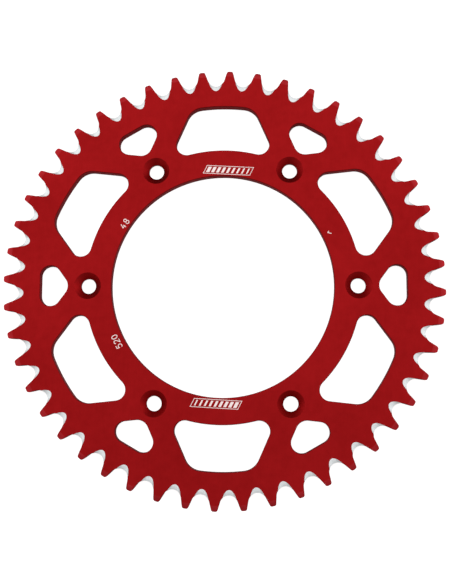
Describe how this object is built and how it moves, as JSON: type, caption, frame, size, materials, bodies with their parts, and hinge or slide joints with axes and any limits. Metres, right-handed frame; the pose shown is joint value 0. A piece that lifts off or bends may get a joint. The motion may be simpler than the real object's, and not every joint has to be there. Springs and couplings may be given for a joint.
{
  "type": "rear sprocket",
  "caption": "Flat toothed ring for a motorcycle chain drive, with a large centre bore, countersunk bolt holes, lightening windows and a mud relief at each tooth root.",
  "frame": {"origin": "centre of the bore on the back face, which sits against the wheel hub", "axes": "+Z along the wheel's axis towards the outer, countersunk face; +X through the centre of one bolt hole; the plate lies flat on its back face"},
  "size_m": [0.2502, 0.2502, 0.0058],
  "materials": {
    "red_anodised_aluminium": "satin red anodised",
    "bare_cut_aluminium": "freshly milled, uncoated",
    "etched_mark": "laser etched, matt"
  },
  "bodies": {
    "root": {"sprocket_plate": "red_anodised_aluminium"}
  },
  "joints": []
}
